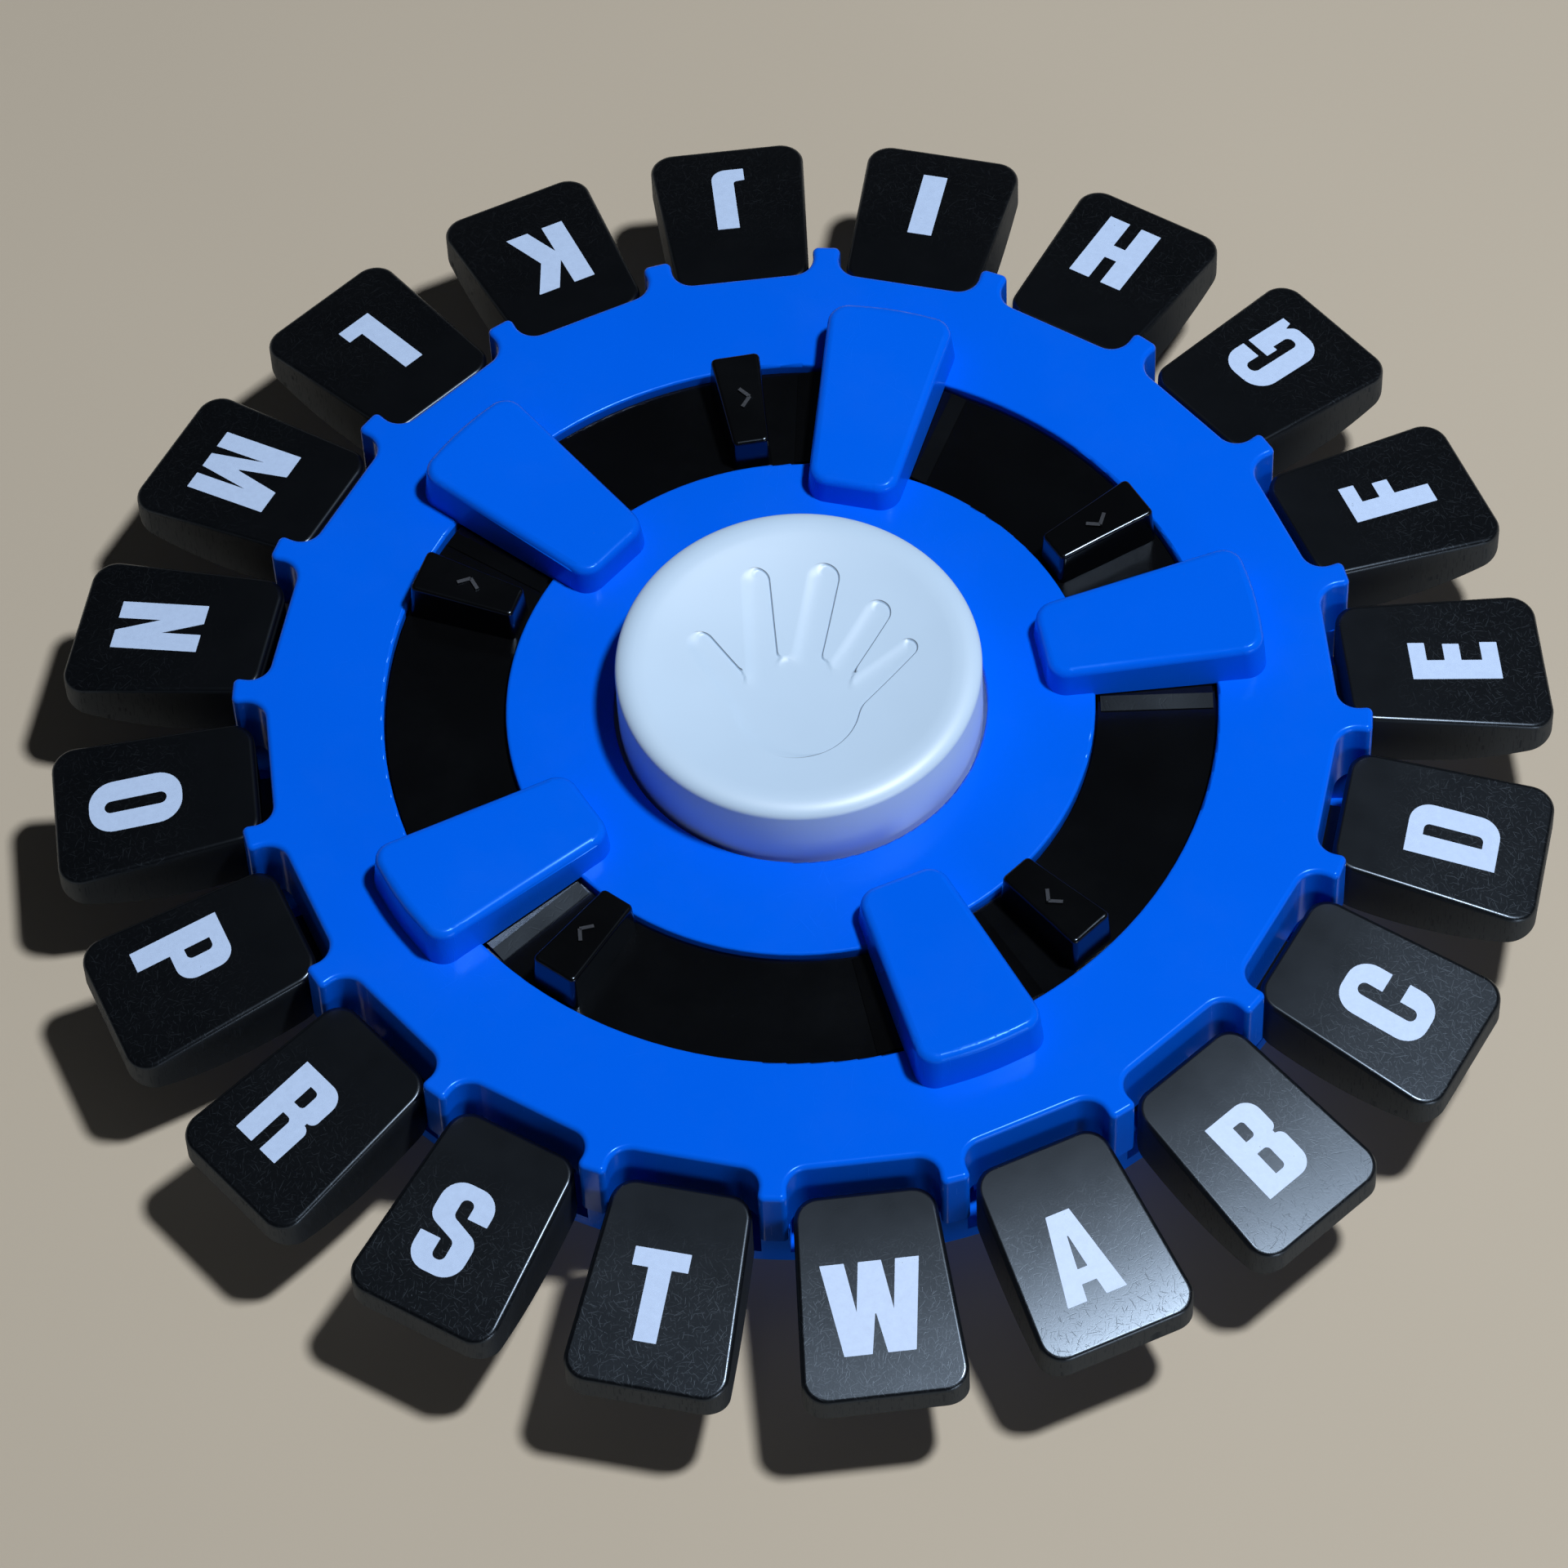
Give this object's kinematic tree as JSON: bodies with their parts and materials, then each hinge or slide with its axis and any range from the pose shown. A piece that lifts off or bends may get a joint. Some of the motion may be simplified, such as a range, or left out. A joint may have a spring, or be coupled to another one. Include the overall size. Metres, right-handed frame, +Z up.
{
  "type": "rotating word game board",
  "caption": "Round word game board with letter keys hinged around a hub, a reset ring turned by arrow tabs and a large press button.",
  "frame": {"origin": "centre of the plane that the feet stand on", "axes": "+Z up; +X and +Y in the resting plane, with the letter keys at odd multiples of 9 degrees from +X"},
  "size_m": [0.2432, 0.2432, 0.0465],
  "materials": {
    "blue_shell": "satin",
    "key_black": "satin",
    "ring_black": "glossy",
    "button_white": "satin",
    "legend_white": "printed",
    "foot_rubber": "matte",
    "steel": "zinc plated",
    "contact_metal": "nickel plated",
    "cell_wrap": "wrapped",
    "board_green": "solder mask",
    "chip_black": "moulded"
  },
  "bodies": {
    "base": {"top_cover": "blue_shell", "base_shell": "blue_shell", "case_screws": "steel", "rubber_feet": "foot_rubber", "battery_door": "blue_shell", "door_screw": "steel", "battery_cells": "cell_wrap", "battery_contacts": "contact_metal", "circuit_board": "board_green", "board_parts": "chip_black", "speaker": "chip_black", "power_switch": "steel", "switch_board": "board_green", "tact_switch": "chip_black"},
    "reset_ring": {"reset_ring": "ring_black"},
    "centre_button": {"centre_button": "button_white", "button_spring": "steel"},
    "power_slider": {"power_slider": "ring_black"},
    "key_a": {"key_a": "key_black"},
    "key_b": {"key_b": "key_black"},
    "key_c": {"key_c": "key_black"},
    "key_d": {"key_d": "key_black"},
    "key_e": {"key_e": "key_black"},
    "key_f": {"key_f": "key_black"},
    "key_g": {"key_g": "key_black"},
    "key_h": {"key_h": "key_black"},
    "key_i": {"key_i": "key_black"},
    "key_j": {"key_j": "key_black"},
    "key_k": {"key_k": "key_black"},
    "key_l": {"key_l": "key_black"},
    "key_m": {"key_m": "key_black"},
    "key_n": {"key_n": "key_black"},
    "key_o": {"key_o": "key_black"},
    "key_p": {"key_p": "key_black"},
    "key_r": {"key_r": "key_black"},
    "key_s": {"key_s": "key_black"},
    "key_t": {"key_t": "key_black"},
    "key_w": {"key_w": "key_black"}
  },
  "joints": [
    {"name": "key_a_hinge", "type": "hinge", "parent": "base", "child": "key_a", "pos_m": [0.03632, -0.07128, 0.018], "axis": [0.891, 0.454, 0], "range_deg": [0, 10]},
    {"name": "key_b_hinge", "type": "hinge", "parent": "base", "child": "key_b", "pos_m": [0.05657, -0.05657, 0.018], "axis": [0.7071, 0.7071, 0], "range_deg": [0, 10]},
    {"name": "key_c_hinge", "type": "hinge", "parent": "base", "child": "key_c", "pos_m": [0.07128, -0.03632, 0.018], "axis": [0.454, 0.891, 0], "range_deg": [0, 10]},
    {"name": "key_d_hinge", "type": "hinge", "parent": "base", "child": "key_d", "pos_m": [0.07902, -0.01251, 0.018], "axis": [0.1564, 0.9877, 0], "range_deg": [0, 10]},
    {"name": "key_e_hinge", "type": "hinge", "parent": "base", "child": "key_e", "pos_m": [0.07902, 0.01251, 0.018], "axis": [-0.1564, 0.9877, 0], "range_deg": [0, 10]},
    {"name": "key_f_hinge", "type": "hinge", "parent": "base", "child": "key_f", "pos_m": [0.07128, 0.03632, 0.018], "axis": [-0.454, 0.891, 0], "range_deg": [0, 10]},
    {"name": "key_g_hinge", "type": "hinge", "parent": "base", "child": "key_g", "pos_m": [0.05657, 0.05657, 0.018], "axis": [-0.7071, 0.7071, 0], "range_deg": [0, 10]},
    {"name": "key_h_hinge", "type": "hinge", "parent": "base", "child": "key_h", "pos_m": [0.03632, 0.07128, 0.018], "axis": [-0.891, 0.454, 0], "range_deg": [0, 10]},
    {"name": "key_i_hinge", "type": "hinge", "parent": "base", "child": "key_i", "pos_m": [0.01251, 0.07902, 0.018], "axis": [-0.9877, 0.1564, 0], "range_deg": [0, 10]},
    {"name": "key_j_hinge", "type": "hinge", "parent": "base", "child": "key_j", "pos_m": [-0.01251, 0.07902, 0.018], "axis": [-0.9877, -0.1564, 0], "range_deg": [0, 10]},
    {"name": "key_k_hinge", "type": "hinge", "parent": "base", "child": "key_k", "pos_m": [-0.03632, 0.07128, 0.018], "axis": [-0.891, -0.454, 0], "range_deg": [0, 10]},
    {"name": "key_l_hinge", "type": "hinge", "parent": "base", "child": "key_l", "pos_m": [-0.05657, 0.05657, 0.018], "axis": [-0.7071, -0.7071, 0], "range_deg": [0, 10]},
    {"name": "key_m_hinge", "type": "hinge", "parent": "base", "child": "key_m", "pos_m": [-0.07128, 0.03632, 0.018], "axis": [-0.454, -0.891, 0], "range_deg": [0, 10]},
    {"name": "key_n_hinge", "type": "hinge", "parent": "base", "child": "key_n", "pos_m": [-0.07902, 0.01251, 0.018], "axis": [-0.1564, -0.9877, 0], "range_deg": [0, 10]},
    {"name": "key_o_hinge", "type": "hinge", "parent": "base", "child": "key_o", "pos_m": [-0.07902, -0.01251, 0.018], "axis": [0.1564, -0.9877, 0], "range_deg": [0, 10]},
    {"name": "key_p_hinge", "type": "hinge", "parent": "base", "child": "key_p", "pos_m": [-0.07128, -0.03632, 0.018], "axis": [0.454, -0.891, 0], "range_deg": [0, 10]},
    {"name": "key_r_hinge", "type": "hinge", "parent": "base", "child": "key_r", "pos_m": [-0.05657, -0.05657, 0.018], "axis": [0.7071, -0.7071, 0], "range_deg": [0, 10]},
    {"name": "key_s_hinge", "type": "hinge", "parent": "base", "child": "key_s", "pos_m": [-0.03632, -0.07128, 0.018], "axis": [0.891, -0.454, 0], "range_deg": [0, 10]},
    {"name": "key_t_hinge", "type": "hinge", "parent": "base", "child": "key_t", "pos_m": [-0.01251, -0.07902, 0.018], "axis": [0.9877, -0.1564, 0], "range_deg": [0, 10]},
    {"name": "key_w_hinge", "type": "hinge", "parent": "base", "child": "key_w", "pos_m": [0.01251, -0.07902, 0.018], "axis": [0.9877, 0.1564, 0], "range_deg": [0, 10]},
    {"name": "ring_turn", "type": "hinge", "parent": "base", "child": "reset_ring", "pos_m": [0, 0, 0.03], "axis": [0, 0, 1], "range_deg": [0, 18]},
    {"name": "button_press", "type": "slide", "parent": "base", "child": "centre_button", "axis": [0, 0, -1], "range_m": [0, 0.003], "stiffness_N_per_m": 300, "springref_m": -0.004, "deforming": ["button_spring"]},
    {"name": "power_slide", "type": "slide", "parent": "base", "child": "power_slider", "axis": [0.309, -0.9511, 0], "range_m": [0, 0.0025]}
  ]
}
